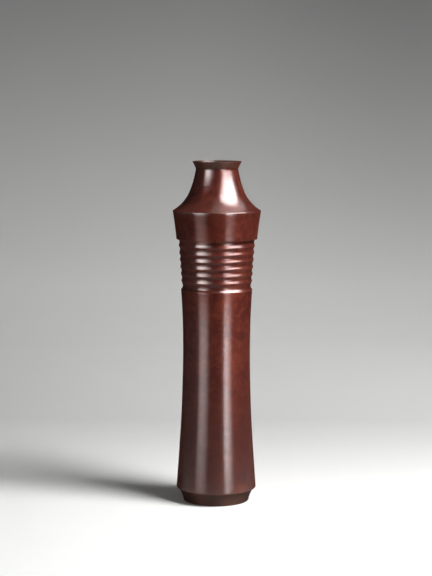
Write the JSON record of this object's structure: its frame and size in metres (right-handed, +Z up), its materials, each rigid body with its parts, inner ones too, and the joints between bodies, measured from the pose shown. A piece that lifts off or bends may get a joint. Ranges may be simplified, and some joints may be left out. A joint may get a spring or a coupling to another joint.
{
  "type": "flower vase",
  "caption": "Slender cast-bronze flower vase: ringed waisted body, ribbed collar, tapered shoulder band and narrow flared neck with an everted lip.",
  "frame": {"origin": "centre of the foot's flat resting face, on the vase's axis", "axes": "+Z up along the vase's axis, from the foot to the lip; the vase is round, so +X and +Y are free"},
  "size_m": [0.0774, 0.0774, 0.3006],
  "materials": {
    "red_patina": "cast bronze with a polished, waxed red-brown patina, faintly mottled",
    "dark_patina": "cast bronze with a darker, duller brown patina",
    "bare_bronze": "turned bronze left unpolished and dulled",
    "solder": "dull grey soft solder"
  },
  "bodies": {
    "root": {"foot_ring": "dark_patina", "base_plate": "bare_bronze", "ribbed_body": "red_patina", "neck_and_shoulder": "red_patina", "base_solder": "solder", "foot_solder": "solder", "shoulder_solder": "solder"}
  },
  "joints": []
}
